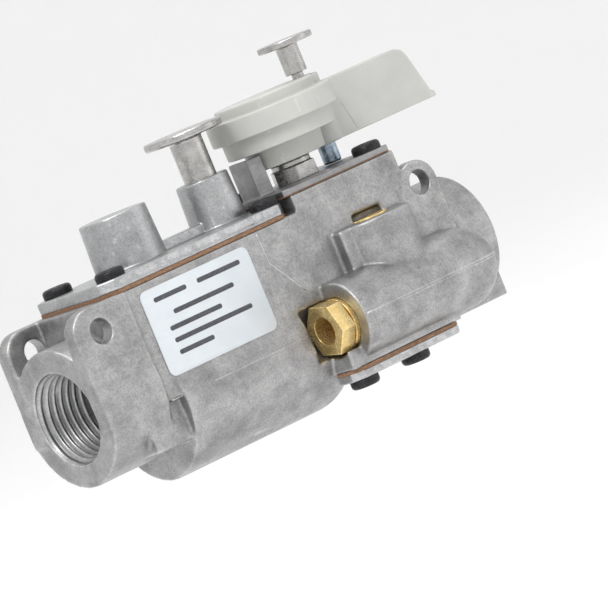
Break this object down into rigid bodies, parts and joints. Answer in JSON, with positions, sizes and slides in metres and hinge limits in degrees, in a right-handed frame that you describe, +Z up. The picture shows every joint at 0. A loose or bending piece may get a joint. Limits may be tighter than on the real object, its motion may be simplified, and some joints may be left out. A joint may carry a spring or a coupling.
{
  "type": "gas valve",
  "caption": "Die-cast gas valve with threaded pipe ports, a lever cock, a press-to-reset safety button and a brass pilot tube outlet.",
  "frame": {"origin": "centre of the inlet port's mouth", "axes": "+X along the gas flow from inlet to outlet, +Y to the back, +Z up towards the lever; the label faces -Y"},
  "size_m": [0.1244, 0.0449, 0.0772],
  "materials": {
    "body_cast": "as-cast, matt",
    "cover_cast": "as-cast, satin",
    "fibre": "fibre gasket sheet",
    "screw_black": "black oxide",
    "foot_cast": "satin",
    "steel_plate": "cold-rolled",
    "bright_steel": "turned bright",
    "zinc_steel": "blue zinc plate",
    "spring_wire": "drawn wire",
    "brass_part": "turned",
    "nitrile": "moulded",
    "felt": "felt",
    "lever_plastic": "moulded, matt",
    "label_sheet": "satin coated foil"
  },
  "bodies": {
    "casing": {"valve_body": "body_cast", "top_cover": "cover_cast", "cover_gasket": "fibre", "bottom_gasket": "fibre", "cock_gasket": "fibre", "cover_screws": "screw_black", "cock_plate_screws": "screw_black", "bottom_cover_screws": "screw_black", "bottom_cover": "foot_cast", "cock_plate": "steel_plate", "rocker_bracket": "steel_plate", "gland_nut": "bright_steel", "rocker_pin": "bright_steel", "magnet_unit": "bright_steel", "plug_spring": "spring_wire", "pilot_nut": "brass_part", "pilot_ferrule": "brass_part", "pilot_seat_ring": "brass_part", "valve_seat": "brass_part", "thermocouple_socket": "brass_part", "reset_bush": "brass_part", "adjuster_seal": "nitrile", "pilot_filter": "felt", "label_plate": "label_sheet"},
    "lever": {"lever_handle": "lever_plastic", "lever_screw": "bright_steel", "cock_stem": "bright_steel", "cock_plug": "brass_part", "lock_bush": "lever_plastic"},
    "lock_pin": {"lock_plunger": "bright_steel", "lock_post": "zinc_steel", "lock_ring": "bright_steel", "lock_spring": "spring_wire"},
    "reset_button": {"reset_plunger": "bright_steel", "reset_ring": "bright_steel", "reset_spring": "spring_wire"},
    "rocker": {"rocker_arm": "steel_plate", "armature": "steel_plate", "valve_disc": "nitrile", "disc_backing": "steel_plate", "valve_spring": "spring_wire"},
    "pilot_adjuster": {"pilot_adjuster": "brass_part"}
  },
  "joints": [
    {"name": "lever_turn", "type": "hinge", "parent": "casing", "child": "lever", "pos_m": [0.0808, 0, 0.03], "axis": [0, 0, 1], "range_deg": [-90, 0]},
    {"name": "lock_press", "type": "slide", "parent": "lever", "child": "lock_pin", "axis": [0, 0, -1], "range_m": [0, 0.001], "stiffness_N_per_m": 400, "springref_m": -0.0015, "deforming": ["lock_spring"]},
    {"name": "reset_press", "type": "slide", "parent": "casing", "child": "reset_button", "axis": [0, 0, -1], "range_m": [0, 0.0025], "stiffness_N_per_m": 400, "springref_m": -0.002, "deforming": ["reset_spring"]},
    {"name": "rocker_tilt", "type": "hinge", "parent": "casing", "child": "rocker", "pos_m": [0.0445, 0, 0.0092], "axis": [0, 1, 0], "range_deg": [0, 12.1], "deforming": ["valve_spring"]},
    {"name": "pilot_adjust", "type": "hinge", "parent": "casing", "child": "pilot_adjuster", "pos_m": [0.084, -0.0145, 0.01], "axis": [0, 0, 1], "range_deg": [-180, 180]}
  ],
  "couplings": [
    {"joint": "rocker_tilt", "follows": "reset_press", "rad_per_m": 84}
  ]
}
